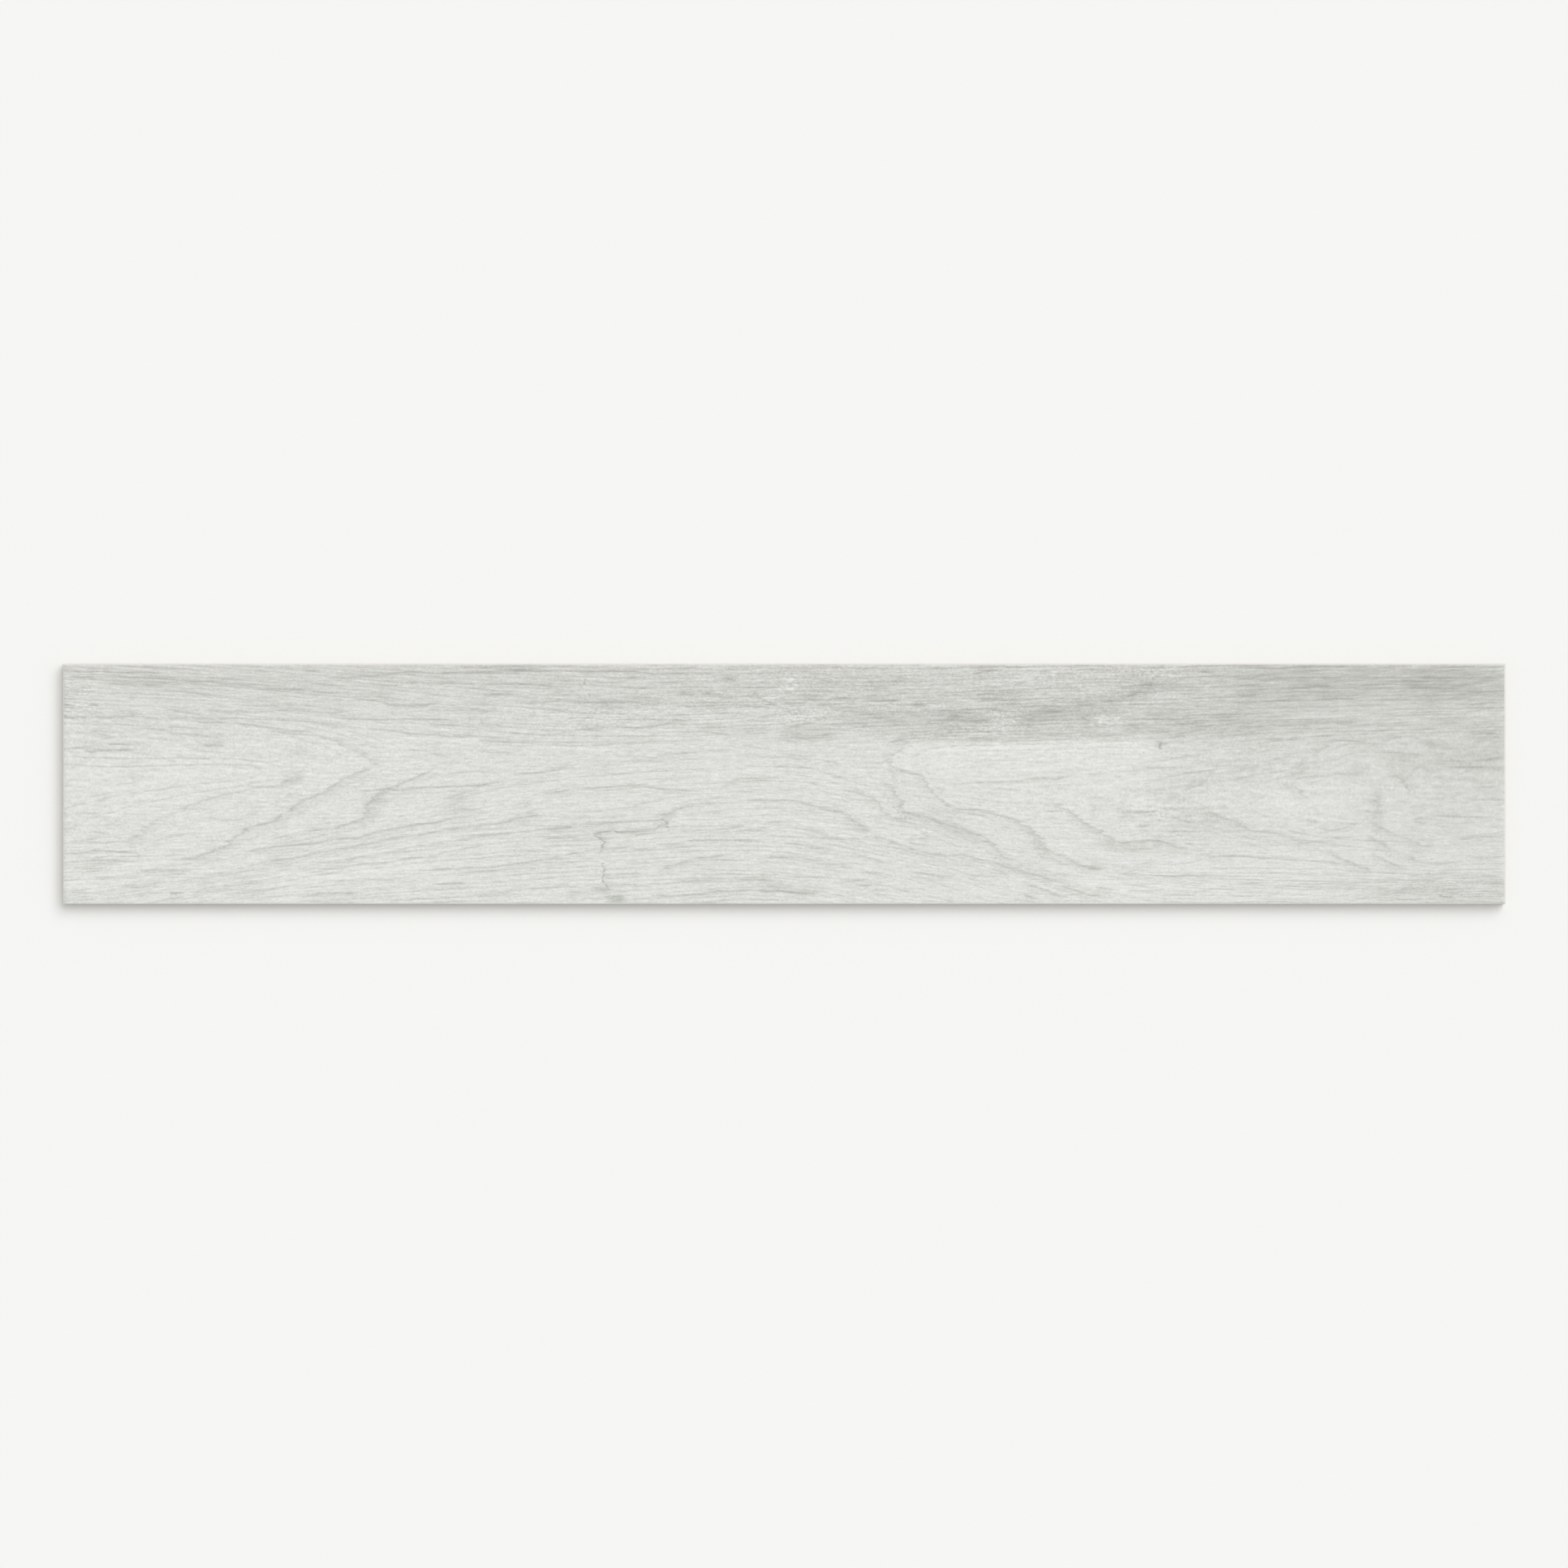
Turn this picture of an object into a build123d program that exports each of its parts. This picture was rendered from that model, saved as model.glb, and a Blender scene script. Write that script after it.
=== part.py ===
from build123d import *
from math import cos, radians
import os

# Rectified porcelain plank tile, lying on its back with the glazed face up.
# Millimetres. The origin is the middle of the back, in the plane of its ribs.
# X runs along the plank, Y across it and Z up through the glazed face.

# Plank, pressed and fired in one piece and ground to size
plank_length = 900.0
plank_width = 150.0
plank_thickness = 9.5  # from the back ribs to the glazed face

# Arrises, bevelled at 45 degrees by the grinding line
face_bevel = 0.6
back_bevel = 1.0

# Keyed back: a honeycomb of shallow pockets that the adhesive bed fills
back_rim = 6.5  # plain border, from the back bevel to the nearest pocket
pocket_width = 16.0  # across the flats, at the mouth
rib_width = 4.0  # between neighbouring pockets
pocket_depth = 0.7
pocket_draft = 35.0  # lean of the pocket walls, in degrees, for release from the die

hexagon_sides = 6
corner_angle = 180.0 / hexagon_sides  # from the middle of a flat to a corner


def ground_plank():
    """Plain block of the plank's full size, with both arrises bevelled."""
    block = Box(
        plank_length,
        plank_width,
        plank_thickness,
        align=(Align.CENTER, Align.CENTER, Align.MIN),
    )
    block = chamfer(block.edges().group_by(Axis.Z)[-1], face_bevel)
    return chamfer(block.edges().group_by(Axis.Z)[0], back_bevel)


def pocket_centres():
    """Staggered rows of pockets, as many as fit inside the rim, centred on the back."""
    pitch = pocket_width + rib_width
    row_step = pitch * cos(radians(corner_angle))
    pocket_length = pocket_width / cos(radians(corner_angle))  # corner to corner, across the plank
    border = back_bevel + back_rim
    rows = 1 + int((plank_width - 2 * border - pocket_length) / row_step)
    columns = 1 + int((plank_length - 2 * border - pocket_width) / pitch)
    centres = []
    for row in range(rows):
        y = (row - (rows - 1) / 2) * row_step
        in_row = columns - row % 2
        for column in range(in_row):
            x = (column - (in_row - 1) / 2) * pitch
            centres.append((x, y))
    return centres


def key_pocket():
    """One six-sided pocket, open at the back and narrower at its floor."""
    mouth = RegularPolygon(
        pocket_width / 2, hexagon_sides, major_radius=False, rotation=corner_angle
    )
    return extrude(mouth, amount=pocket_depth, taper=pocket_draft)


pocket = key_pocket()
porcelain_tile = ground_plank() - [Pos(x, y) * pocket for x, y in pocket_centres()]
porcelain_tile.label = "porcelain_tile"

os.makedirs("parts", exist_ok=True)
export_step(porcelain_tile, "parts/porcelain_tile.step")
print("pockets:", len(pocket_centres()))
print("volume, cubic mm:", round(porcelain_tile.volume, 1))
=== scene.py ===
import bpy
import bmesh
import math
import numpy as np
from mathutils.kdtree import KDTree
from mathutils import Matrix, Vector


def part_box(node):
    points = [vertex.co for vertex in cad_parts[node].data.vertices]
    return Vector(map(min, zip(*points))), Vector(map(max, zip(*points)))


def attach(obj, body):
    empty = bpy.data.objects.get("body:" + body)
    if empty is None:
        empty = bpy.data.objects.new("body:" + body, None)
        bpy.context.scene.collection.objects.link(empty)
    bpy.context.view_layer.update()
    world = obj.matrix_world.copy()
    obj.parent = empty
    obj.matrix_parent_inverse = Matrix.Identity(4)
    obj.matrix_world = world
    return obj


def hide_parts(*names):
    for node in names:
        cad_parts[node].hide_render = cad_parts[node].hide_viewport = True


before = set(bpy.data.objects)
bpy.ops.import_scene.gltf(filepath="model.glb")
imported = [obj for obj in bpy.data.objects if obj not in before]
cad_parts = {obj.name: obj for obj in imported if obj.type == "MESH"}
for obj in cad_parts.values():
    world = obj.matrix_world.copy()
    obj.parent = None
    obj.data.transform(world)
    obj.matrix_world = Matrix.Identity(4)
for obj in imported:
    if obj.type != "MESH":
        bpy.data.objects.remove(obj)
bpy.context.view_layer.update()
mm = 0.001  # all sizes below are in mm unless they say otherwise
print("stage: frame loaded,", sorted(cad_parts))


def linearColour(hexText):
    # sRGB hex to the linear values that the shaders take
    parts = [int(hexText[i:i + 2], 16) / 255 for i in (1, 3, 5)]
    return [p / 12.92 if p <= 0.04045 else ((p + 0.055) / 1.055) ** 2.4 for p in parts] + [1.0]


calc, vectorCalc, fit = "ShaderNodeMath", "ShaderNodeVectorMath", "ShaderNodeMapRange"  # nodes used most


def addNode(tree, kind, links=None, out=0, **settings):
    # adds one node, sets it, feeds each input from a socket or a value, and hands back one output
    made = tree.nodes.new(kind)
    for name, value in settings.items():
        setattr(made, name, value)
    for name, source in (links or {}).items():
        if isinstance(source, bpy.types.NodeSocket):
            tree.links.new(source, made.inputs[name])
        else:
            made.inputs[name].default_value = source
    return made.outputs[out] if made.outputs else made


def addObject(name, data):
    made = bpy.data.objects.new(name, data)
    bpy.context.scene.collection.objects.link(made)
    return made


# Camera: straight down on the face, from far enough off that the sides stay out of view
cameraSetup = {"lens": 150.0, "sensor": 36.0, "fillOfFrame": 0.92}

tileLow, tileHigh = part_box("porcelain_tile")
tileLength = (tileHigh.x - tileLow.x) / mm
tileWidth = (tileHigh.y - tileLow.y) / mm
faceHeight = tileHigh.z / mm

cameraData = bpy.data.cameras.new("camera")
cameraData.lens = cameraSetup["lens"]
cameraData.sensor_width = cameraSetup["sensor"]
frameWidth = tileLength * mm / cameraSetup["fillOfFrame"]
camera = addObject("camera", cameraData)
camera.location = (0, 0, tileHigh.z + frameWidth * cameraSetup["lens"] / cameraSetup["sensor"])
bpy.context.scene.camera = camera
print("stage: camera")

# Growth rings of the printed board: a ring number, then points on that ring in mm from the
# middle of the face
ringGuides = [
    # left: nested tips of the grain, pointing right
    (0.1, [(-450, 8), (-410, 3), (-370, 6), (-335, 8)]),
    (1.0, [(-450, 22), (-400, 21), (-350, 20), (-318, 17), (-302, 10), (-310, 1), (-335, -4), (-362, -10),
           (-385, -18), (-403, -30), (-450, -37)]),
    (2.0, [(-450, 42), (-400, 41), (-345, 38), (-300, 33), (-272, 25), (-256, 14), (-264, 7), (-283, -1),
           (-300, -10), (-318, -20), (-340, -31), (-365, -45), (-450, -49)]),
    # top: long rings that dip in the middle
    (3.6, [(-450, 55), (-345, 51), (-300, 46), (-262, 40), (-218, 31), (-150, 25), (-60, 26), (0, 28),
           (60, 33), (120, 36), (232, 38), (320, 41), (450, 44)]),
    (5.0, [(-450, 66), (-345, 61), (-262, 53), (-200, 44), (-130, 38), (-60, 37), (0, 40), (60, 44),
           (150, 48), (232, 50), (320, 52), (450, 53)]),
    (6.5, [(-450, 77), (-345, 71), (-262, 64), (-180, 57), (-100, 52), (0, 53), (80, 55), (200, 60),
           (320, 63), (450, 63)]),
    (8.0, [(-262, 75), (-180, 69), (-100, 66), (0, 66), (100, 67), (220, 70), (330, 73), (450, 73)]),
    # middle and bottom: rings that climb over a hump and fall in steps to the right
    (3.6, [(-450, -57), (-390, -54), (-345, -46), (-312, -34), (-283, -28), (-262, -22), (-250, -11),
           (-228, 3), (-205, 9), (-150, 9), (-130, 12), (-60, 17), (-20, 19), (5, 18), (25, 15), (38, 8),
           (65, -2), (73, -10), (77, -16), (95, -22), (125, -34), (135, -43), (160, -49), (185, -57),
           (260, -65), (330, -67), (450, -65)]),
    (4.6, [(-450, -65), (-370, -58), (-330, -48), (-295, -38), (-270, -33), (-245, -27), (-215, -22),
           (-165, -14), (-130, -5), (-90, -1), (-50, 1), (-20, 3), (10, 2), (35, -3), (55, -9), (63, -16),
           (80, -24), (105, -33), (125, -42), (150, -53), (180, -62), (230, -71)]),
    (6.0, [(-450, -72), (-330, -55), (-290, -45), (-235, -33), (-185, -26), (-160, -23), (-110, -24),
           (-85, -22), (-72, -18), (-45, -12), (5, -11), (20, -14), (38, -17), (43, -24), (55, -29),
           (70, -37), (105, -45), (130, -51), (165, -60), (210, -74)]),
    (7.0, [(-235, -40), (-200, -35), (-150, -33), (-117, -32), (-75, -27), (-35, -26), (5, -24), (20, -29),
           (38, -34), (55, -38), (100, -50), (140, -60), (170, -70)]),
    (8.0, [(-300, -56), (-235, -47), (-170, -42), (-117, -41), (-60, -36), (10, -36), (30, -41), (60, -47),
           (100, -57), (140, -70)]),
    (9.0, [(-300, -63), (-220, -54), (-165, -50), (-105, -48), (-60, -45), (-35, -44), (0, -46), (40, -52),
           (80, -60), (110, -70)]),
    (10.0, [(-200, -62), (-105, -56), (-60, -53), (0, -55), (40, -61), (80, -70)]),
    (11.0, [(-150, -68), (-70, -62), (-10, -60), (30, -64), (60, -71)]),
    (12.0, [(-70, -70), (-20, -66), (10, -69)]),
    # right: a tongue with its tip to the left, a second inside it and a small closed eye
    (2.0, [(450, 39), (382, 36.5), (320, 36), (270, 34), (232, 30), (150, 27), (95, 26), (74, 21), (66, 12),
           (78, 8), (88, 0), (93, -8), (102, -14), (128, -17), (140, -21), (152, -28), (161, -38),
           (170, -45), (195, -53), (240, -57), (300, -58), (380, -60), (450, -58)]),
    (1.0, [(450, 33), (400, 32), (360, 31), (320, 29), (280, 22), (232, 14), (190, 9), (163, 2), (154, -6),
           (165, -14), (180, -20), (192, -29), (205, -36), (235, -38), (262, -42), (300, -46), (340, -49),
           (400, -54), (450, -53)]),
    (0.4, [(450, 24), (400, 26), (367, 26), (345, 25), (335, 21), (327, 15), (316, 10), (298, 7), (275, 4),
           (258, 0), (246, -6), (262, -14), (280, -24), (300, -31), (325, -36), (360, -41), (400, -46),
           (450, -44)]),
    (-0.6, [(318, -8), (325, 0), (345, 7), (362, 1), (370, -11), (362, -22), (343, -29), (325, -20),
            (318, -8)]),
    (-1.3, [(338, -11), (350, -11)]), (-0.3, [(378, 6), (386, 1), (391, -9), (388, -20), (376, -29)]),
    (-0.1, [(405, -4), (450, -6)]),
]

# Rows of fibre, which lean with the figure but less: each row's level, then points on it in mm
fibreRows = [
    (66, [(-450, 75), (-350, 71), (-250, 67.5), (-100, 66), (50, 66), (150, 67.5), (250, 70), (350, 74)]),
    (48, [(-450, 62), (-350, 56), (-250, 51), (-150, 48.5), (-50, 48), (50, 49.5), (150, 50.5), (250, 53),
          (350, 57.5), (450, 63)]),
    (28, [(-450, 44), (-350, 36), (-250, 30), (-150, 28), (-50, 28.5), (50, 30.5), (150, 31), (250, 32.5),
          (350, 38), (450, 44)]),
    (8, [(-450, 10), (-350, 5), (-250, 4.5), (-150, 7), (-50, 8.5), (0, 8.5), (50, 6), (100, 3), (200, 4),
         (300, 7), (450, 8)]),
    (-12, [(-450, -24), (-350, -22), (-250, -18.5), (-150, -13.5), (-50, -11), (0, -11), (50, -14),
           (100, -20), (150, -25), (250, -27), (350, -29), (450, -30)]),
    (-32, [(-450, -46), (-350, -45), (-250, -39), (-150, -34), (-50, -30.5), (0, -31), (50, -35),
           (100, -41), (150, -46), (250, -49), (450, -50)]),
    (-52, [(-450, -68), (-350, -64), (-250, -58), (-150, -54), (-50, -50.5), (0, -51), (50, -55),
           (100, -61), (150, -65), (250, -67), (450, -67)]),
]

# Drawn late-wood lines: how dark each one is, then its points in mm from the middle
# of the face
woodLines = [
    # left end, top
    (0.9, [(-450, 66.5), (-420, 66.8), (-400, 66.5), (-385, 66), (-374, 66)]),
    (0.9, [(-374, 63.5), (-360, 64.3), (-350, 62.5), (-340, 61.5), (-330, 60), (-315, 59), (-300, 58.5),
           (-290, 57), (-274, 56.5)]),
    (0.7, [(-428, 62.5), (-400, 62), (-383, 61)]), (0.8, [(-450, 70), (-405, 69.8), (-385, 69)]),
    (0.8, [(-452, 49.5), (-442, 49.5)]), (1.1, [(-434, 49.2), (-427, 49.2)]),
    (0.25, [(-450, 58), (-440, 59.5), (-430, 60.5)]),
    (0.5, [(-450, 42), (-435, 41.5), (-420, 41.8), (-405, 42.5), (-395, 41.2), (-385, 40.2), (-370, 40.5),
           (-355, 40.5), (-340, 41), (-325, 40.5), (-310, 40), (-295, 38.6), (-278, 36.5), (-262, 35)]),
    (0.6, [(-418, 45.5), (-408, 44.8), (-399, 43.5)]), (0.5, [(-386, 47), (-375, 44.5), (-363, 43)]),
    (0.2, [(-412, 38), (-395, 34.5), (-380, 32), (-364, 30.5), (-352, 28)]),
    (0.4, [(-432, 33), (-419, 28.5)]),
    (0.9, [(-451, 22), (-438, 22.3), (-432, 19.5), (-425, 21), (-415, 21), (-408, 21), (-398, 21.8)]),
    (0.6, [(-424, 25), (-412, 24.5), (-403, 23.5)]), (0.7, [(-367, 24.5), (-357, 23.5), (-348, 24)]),
    (0.5, [(-347, 38), (-330, 36.5), (-320, 34.5), (-305, 33.5), (-290, 32)]),
    (0.6, [(-387, 59), (-372, 57), (-358, 55.5), (-343, 54)]),
    (0.4, [(-342, 48.5), (-320, 49), (-303, 48)]),
    (0.4, [(-362, 46), (-330, 44.5), (-308, 46), (-280, 44.5), (-263, 46)]),
    # left end, inside the grain tip
    (0.4, [(-416, 3), (-408, 5), (-404, 2), (-410, 0), (-417, 1)]), (0.4, [(-432, -8), (-420, -6)]),
    (0.4, [(-414, -12.5), (-400, -11)]), (0.6, [(-452, -29), (-440, -26)]),
    (0.35, [(-434, -30), (-418, -30.5)]),
    (0.4, [(-442, -19), (-428, -18.5), (-424, -22), (-418, -25), (-413, -20), (-409, -14)]),
    (0.4, [(-450, -37), (-440, -35.5), (-425, -36.5), (-410, -35.5), (-402, -32), (-396, -25), (-388, -21),
           (-378, -17.5), (-370, -13.5), (-362, -10), (-352, -7.5), (-340, -5), (-328, -2), (-315, -1.5),
           (-308, 3), (-301, 9)]),
    (0.85, [(-452, -43.5), (-437, -43), (-430, -41.5), (-415, -42.5), (-403, -43), (-398, -46)]),
    (0.85, [(-442, -48.5), (-425, -47.5), (-412, -48), (-400, -48)]),
    # the large grain tip: lower arm, then upper arm
    (0.95, [(-384, -47.5), (-368, -46.5), (-358, -42.5), (-349, -39), (-345, -35), (-338, -29.5),
            (-333, -27), (-322, -24), (-313, -20), (-308, -15.5), (-302, -11.5), (-295, -8), (-287, -4.5),
            (-280, 0), (-272, 4.5), (-263, 8.5), (-255, 11.5)]),
    (0.45, [(-322, 33), (-305, 31), (-290, 30), (-280, 27.5), (-272, 22), (-263, 18), (-256, 15),
            (-254, 11)]),
    (0.2, [(-362, -22), (-345, -22.5), (-333, -22)]),
    (0.25, [(-396, -37), (-387, -34), (-378, -31.5), (-366, -30.5)]), (0.45, [(-387, -42), (-373, -42)]),
    (0.65, [(-402, -54), (-388, -53.5), (-380, -54.5), (-368, -53)]),
    (0.3, [(-380, -59.5), (-365, -59), (-357, -56), (-345, -56), (-333, -54), (-318, -53.5)]),
    (0.6, [(-320, -34), (-312, -32.5), (-304, -34)]),
    (0.55, [(-427, -69), (-418, -66.5), (-413, -64), (-400, -64.5), (-388, -62)]),
    (1.2, [(-385, -69), (-373, -67.5)]), (0.5, [(-370, -68.5), (-356, -66)]),
    (0.4, [(-452, -67), (-428, -68)]), (0.4, [(-442, -72), (-428, -72)]),
    (0.7, [(-432, -58), (-398, -58.5)]), (0.35, [(-450, -53), (-418, -53)]),
    (0.4, [(-352, -68.5), (-330, -67.5), (-313, -64.5)]), (0.4, [(-332, -50.5), (-303, -51.5)]),
    # left of the middle: lines that fall to the left
    (0.8, [(-302, -30.5), (-290, -28.5), (-280, -27.5), (-273, -25.5), (-265, -23), (-260, -19.5),
           (-262, -15), (-258, -12), (-256, -8), (-250, -6), (-246, -3), (-241, 0), (-235, 1.5),
           (-230, 4.5), (-225, 6), (-217, 9)]),
    (0.8, [(-270, -4.6), (-255, -4), (-247, -3), (-242, -4), (-235, -3), (-220, -2.3), (-205, -1.5),
           (-195, -1), (-187, -0.8), (-181, 0.8), (-173, 1.6)]),
    (0.8, [(-337, -42), (-322, -40), (-310, -38.5), (-295, -37.5), (-287, -36), (-280, -34.5),
           (-268, -33.5), (-258, -31), (-248, -29.5), (-243, -27.8), (-237, -27), (-232, -25.5),
           (-222, -25), (-212, -22.5), (-205, -21)]),
    (0.9, [(-327, -50), (-310, -47), (-300, -45), (-293, -43), (-282, -41.5), (-275, -40.5), (-265, -38),
           (-258, -37), (-250, -35), (-243, -34), (-232, -32.5), (-222, -31), (-212, -29), (-203, -27.5),
           (-190, -26), (-180, -25), (-172, -23.5), (-165, -21.5), (-158, -19.5), (-148, -20.5)]),
    (0.65, [(-299, -49), (-285, -49.3), (-275, -48.5), (-267, -46.5), (-258, -44.5), (-248, -43),
            (-238, -41), (-232, -39), (-222, -38.5), (-212, -36.5), (-205, -35.5), (-197, -34.5),
            (-190, -32.5), (-178, -31.5), (-168, -30.5), (-160, -29.5), (-140, -28), (-130, -26.5),
            (-122, -25.3), (-112, -25), (-100, -23.8), (-90, -23), (-80, -22.8), (-75, -21)]),
    (0.55, [(-302, -53), (-280, -53), (-262, -50), (-250, -49.5), (-240, -47.5), (-230, -46), (-222, -46),
            (-210, -42.5), (-203, -41), (-198, -40), (-192, -38.5), (-183, -37.5)]),
    (0.7, [(-227, -54), (-215, -53.5), (-205, -52.8), (-190, -52), (-178, -51.5), (-170, -50), (-160, -49),
           (-150, -47.5), (-142, -46), (-135, -43.5), (-118, -41.5)]),
    (1.1, [(-221, -62.8), (-208, -62), (-194, -61.8)]), (0.4, [(-183, -61), (-173, -61)]),
    (0.8, [(-302, -70.5), (-290, -68.5), (-275, -68.5), (-261, -67.5)]),
    (0.4, [(-292, -61), (-270, -60.5), (-255, -60), (-236, -59.5)]),
    (0.4, [(-197, -70), (-185, -69), (-175, -67), (-163, -66.5)]),
    (0.4, [(-214, -9.5), (-205, -8), (-200, -5.5), (-188, -4)]),
    (0.2, [(-212, -14), (-200, -16), (-190, -18)]), (0.5, [(-166, -11.5), (-158, -9)]),
    (0.55, [(-166, -15.5), (-157, -12.5)]), (0.55, [(-162, -18), (-153, -16)]),
    # top, left of the middle
    (0.65, [(-260, 34.8), (-245, 33), (-235, 31.5), (-222, 31), (-210, 30), (-193, 29)]),
    (0.65, [(-283, 41.5), (-268, 40.5), (-255, 40.2), (-235, 40), (-220, 40.5), (-203, 39.8)]),
    (0.85, [(-272, 53.5), (-258, 52.5), (-250, 51.5), (-247, 49), (-238, 48.5), (-225, 49), (-213, 50.5)]),
    (0.55, [(-227, 46.5), (-212, 45.5), (-195, 45.5), (-178, 46)]),
    (0.85, [(-189, 55), (-175, 56), (-163, 55)]),
    (0.5, [(-169, 51), (-158, 50.5), (-150, 51), (-140, 52), (-125, 51), (-105, 50.5), (-90, 51),
           (-76, 52.5)]),
    (1.2, [(-302, 71), (-288, 70.5)]),
    (0.75, [(-284, 66), (-270, 66.5), (-258, 67), (-245, 69), (-230, 69.5), (-215, 69), (-200, 69.5),
            (-190, 69.5), (-180, 70), (-165, 70.5), (-150, 70.5), (-138, 70.5), (-120, 70), (-105, 70.3),
            (-92, 70), (-85, 69), (-75, 67.8)]),
    (0.6, [(-238, 63.5), (-222, 63), (-205, 62.5), (-195, 62.5), (-178, 62), (-165, 62.5), (-150, 61.5),
           (-130, 61)]),
    (1.0, [(-254, 61), (-238, 61.5)]), (0.7, [(-182, 73), (-165, 73.3), (-158, 73.5)]),
    (0.5, [(-192, 27), (-178, 26.5), (-168, 25.5), (-148, 25.5)]),
    (0.5, [(-237, 21), (-225, 20.5), (-215, 18), (-206, 16.5)]), (0.4, [(-192, 20), (-168, 19)]),
    (0.4, [(-224, 37), (-200, 36.5), (-178, 35.5)]), (0.4, [(-192, 38), (-173, 36.5)]),
    (0.6, [(-172, 5.5), (-155, 6.5), (-147, 8), (-143, 10), (-129, 11.6)]),
    (0.4, [(-172, 0), (-158, -0.3)]),
    # middle, bottom
    (0.65, [(-152, -6), (-140, -5), (-132, -3), (-120, -3), (-112, -2), (-103, -1.3), (-90, -1.3),
            (-80, -2.5), (-70, -4), (-53, -4)]),
    (0.6, [(-152, -34), (-135, -33.5), (-120, -32)]), (0.6, [(-80, -19.5), (-74, -18.5), (-66, -17)]),
    (0.7, [(-72, -16), (-62, -14.5), (-57, -12.8), (-48, -12.2), (-38, -11.5)]),
    (0.7, [(-24, -10.3), (-10, -10), (3, -10), (12, -11.5), (20, -14), (30, -17), (38, -18), (42, -23),
           (48, -26), (54, -31)]),
    (0.6, [(-62, -29.5), (-48, -29), (-40, -28), (-30, -27), (-18, -26)]),
    (0.5, [(-20, -28.5), (-8, -26.5)]), (0.6, [(-12, -24), (0, -23.5), (7, -23)]),
    (0.65, [(-80, -38.5), (-68, -37.5), (-60, -35.5), (-48, -35), (-35, -35), (-22, -35.5), (-13, -35)]),
    (0.75, [(-80, -55), (-70, -51), (-63, -48), (-55, -46.5), (-45, -45.5), (-38, -44.5), (-30, -43.5)]),
    (1.0, [(-17, -46.5), (-5, -45.5), (5, -45.5), (14, -46)]),
    (0.6, [(-114, -57), (-100, -56), (-83, -56)]), (0.5, [(-114, -40.5), (-100, -40), (-78, -40)]),
    (0.6, [(-72, -60.5), (-50, -60.5), (-30, -59.8), (-15, -59.5), (-3, -59)]),
    (1.0, [(-82, -70), (-65, -69.5), (-52, -69), (-45, -67.5), (-38, -67), (-30, -67), (-22, -66),
           (-15, -66.5), (-10, -67.5), (-5, -66.5), (5, -68), (12, -68.5), (22, -68)]),
    (0.4, [(-137, -68), (-118, -67)]), (0.4, [(-112, -62.5), (-88, -63)]),
    (0.4, [(-152, -62), (-123, -65)]),
    # middle, top
    (0.4, [(-150, 24.5), (-130, 24), (-112, 24), (-90, 25.5), (-73, 26.5)]),
    (0.25, [(-104, 17.5), (-90, 17), (-80, 16.5), (-70, 18.5), (-60, 19.5), (-45, 20.8), (-33, 21)]),
    (0.4, [(-102, 14), (-85, 14), (-73, 15)]), (0.9, [(-132, 34), (-108, 33)]),
    (0.65, [(-105, 36), (-92, 35), (-82, 36), (-72, 37.5), (-58, 39)]),
    (0.65, [(-62, 33), (-48, 32), (-38, 31), (-28, 30)]), (0.8, [(-32, 34), (-8, 34)]),
    (0.5, [(-27, 31), (-8, 31.5)]), (1.2, [(-69, 56), (-60, 55.8), (-48, 56.2), (-38, 56)]),
    (0.7, [(-27, 55), (-15, 54), (-8, 54)]),
    (0.6, [(-72, 49), (-55, 48.7), (-35, 49), (-15, 48.5), (-3, 48)]), (0.6, [(-40, 0), (-28, 0)]),
    (0.35, [(-34, 3), (-15, 3.5), (2, 4)]), (0.45, [(-7, 11), (4, 10.5)]),
    (1.6, [(48, 52), (60, 51.5), (68, 52), (77, 53)]), (1.3, [(28, 54), (47, 52.5)]),
    (1.8, [(78, 49.5), (92, 49)]), (0.7, [(8, 56), (20, 52), (30, 52.5)]), (1.2, [(-2, 50), (14, 50)]),
    (0.9, [(0, 36), (10, 37), (22, 38)]), (0.6, [(118, 52), (130, 52.5), (142, 54.5)]),
    (0.6, [(96, 41), (110, 39.5), (120, 39), (129, 40.5)]), (0.5, [(103, 44.5), (117, 45)]),
    (1.0, [(125, 46), (142, 46)]), (1.5, [(116, 68.5), (128, 70.5), (137, 71.5)]),
    (0.6, [(118, 73), (142, 73.5)]), (0.25, [(30, 46), (55, 44)]), (0.5, [(-2, 30), (12, 28), (28, 29)]),
    # the stepped lines right of the middle
    (0.75, [(84, 31), (76, 26), (71, 21), (67, 15), (68, 11), (75, 8), (85, 5.5), (89, 1), (92, -4),
            (96, -9), (101, -12), (107, -15.5), (115, -16.5), (125, -17.5), (133, -19), (140, -21),
            (147, -24.5), (152, -27), (156, -30), (161, -34), (161, -38), (164, -41), (170, -44),
            (175, -46), (182, -48.5), (188, -51.5), (196, -53.3), (204, -53)]),
    (0.75, [(58, 1), (65, -1), (70, -6), (73, -11), (76, -17), (80, -19), (88, -20.5), (95, -23),
            (103, -25), (112, -28.5), (118, -30), (124, -33), (126, -36), (132, -38), (134, -43),
            (138, -46), (147, -47.5)]),
    (0.75, [(36, -4), (47, -5), (53, -7.5), (58, -10), (60, -14), (62, -18), (68, -21), (75, -23.5),
            (82, -25.5), (87, -29)]),
    (0.9, [(79, -30), (82, -35), (88, -33.5), (94, -31)]),
    (0.55, [(8, -28), (18, -29), (25, -32), (35, -34.5), (42, -34), (52, -37)]),
    (0.75, [(53, -31.5), (62, -34), (70, -37), (78, -40), (88, -43), (100, -45), (110, -44), (120, -46.5),
            (128, -48), (136, -51), (145, -53), (152, -55), (158, -57), (165, -59.5), (174, -62.5)]),
    (0.8, [(-2, -37), (10, -38), (20, -39.5), (30, -41)]),
    (0.55, [(38, -44.5), (50, -45), (58, -48), (70, -50)]), (0.45, [(10, -46.5), (24, -48)]),
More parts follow.
